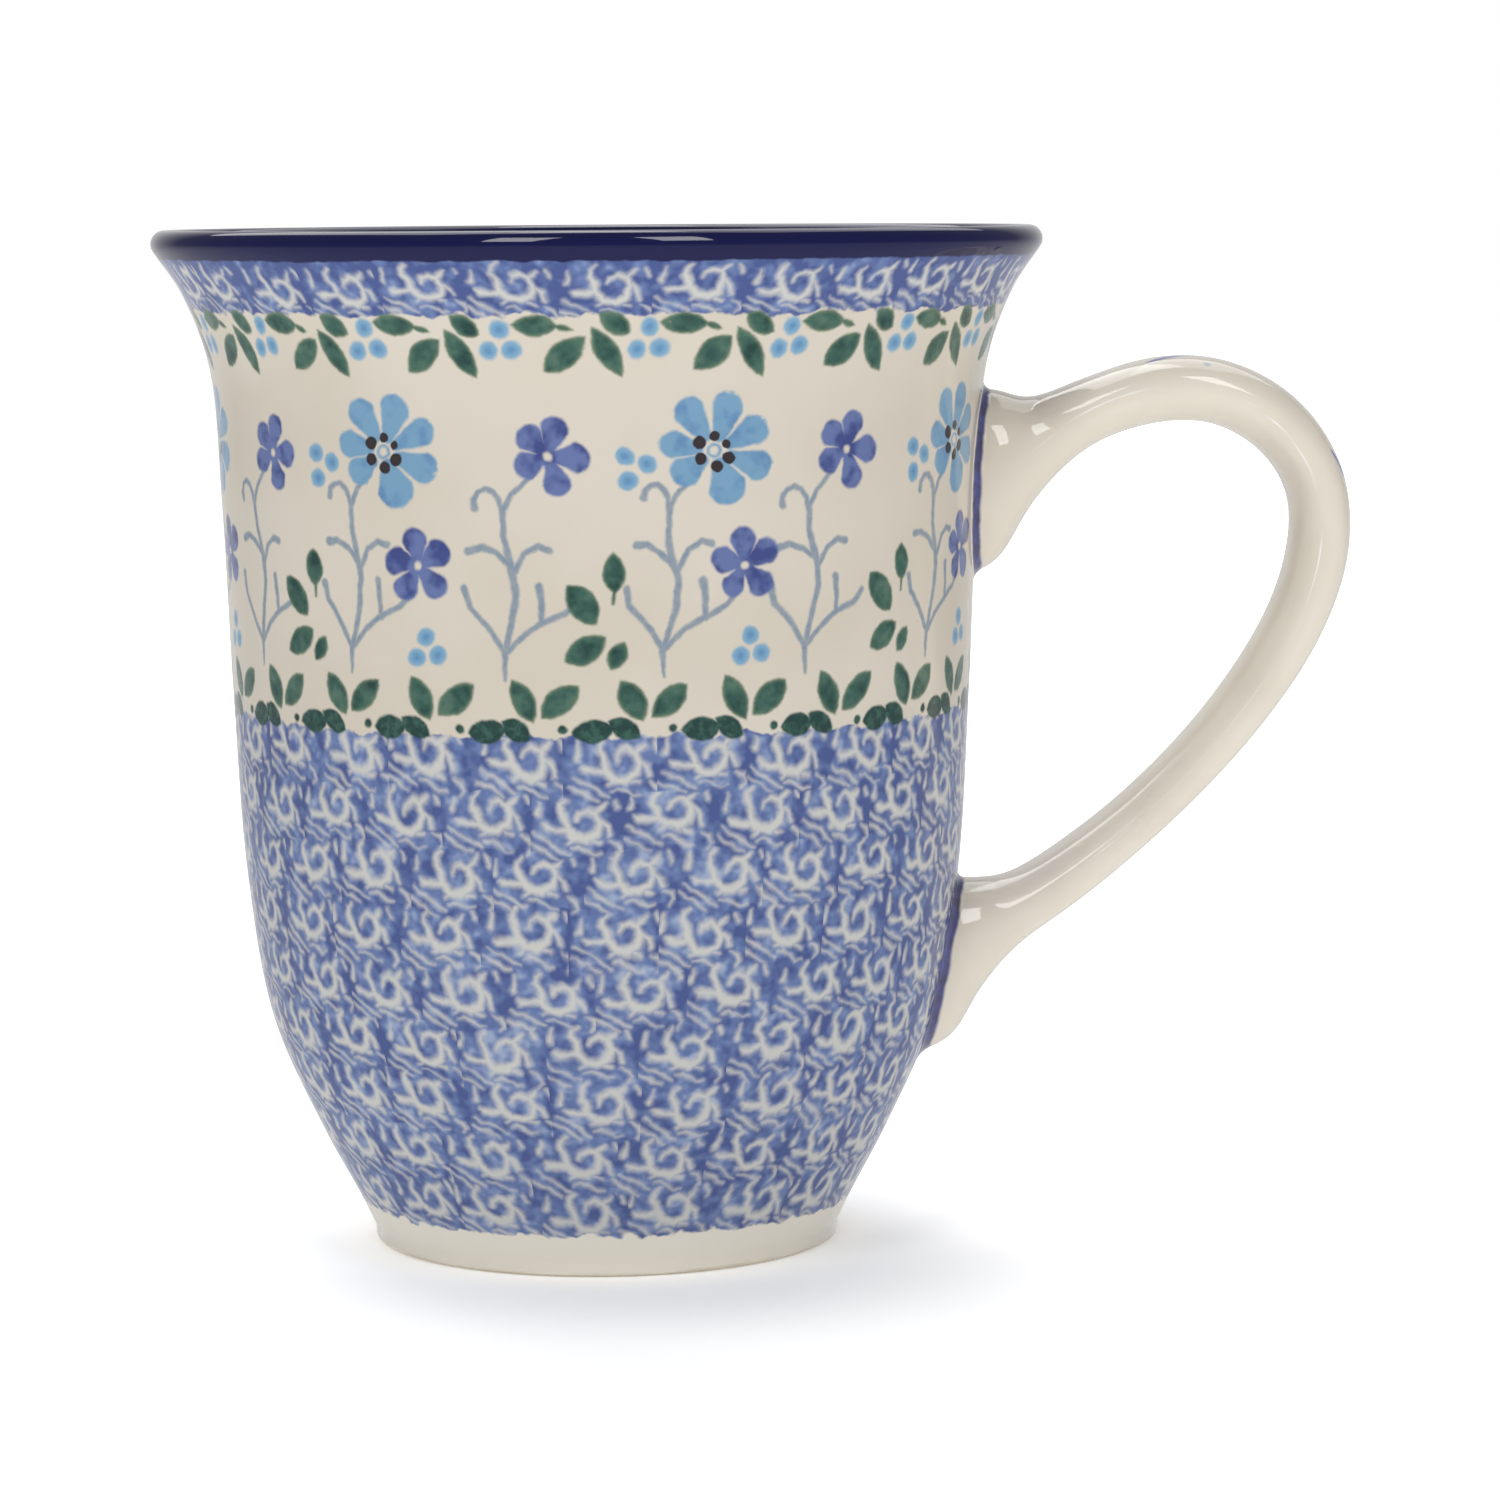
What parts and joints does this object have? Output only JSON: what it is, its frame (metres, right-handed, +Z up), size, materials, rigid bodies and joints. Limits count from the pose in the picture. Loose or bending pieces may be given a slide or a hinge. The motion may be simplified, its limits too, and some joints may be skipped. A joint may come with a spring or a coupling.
{
  "type": "stoneware mug",
  "caption": "Tall stoneware mug with a narrow foot, a flared blue rim, a stamped flower and sponge pattern, and a looped handle.",
  "frame": {"origin": "on the cup's axis, in the plane that the foot ring stands on; the flat of the base recess is 0.9 mm above it", "axes": "+Z up along the cup's axis, +X from the axis towards the handle, +Y to the cup's far side when the handle is on the right"},
  "size_m": [0.1415, 0.1048, 0.12],
  "materials": {
    "decorated_glaze": "clear gloss glaze over a cream body with cobalt, blue and green underglaze decoration",
    "cream_glaze": "clear gloss glaze over a cream stoneware body",
    "cobalt_glaze": "clear gloss glaze over a cobalt brush line"
  },
  "bodies": {
    "root": {"cup_body": "decorated_glaze", "handle": "cream_glaze", "upper_slip_joint": "cobalt_glaze", "lower_slip_joint": "cobalt_glaze"}
  },
  "joints": []
}
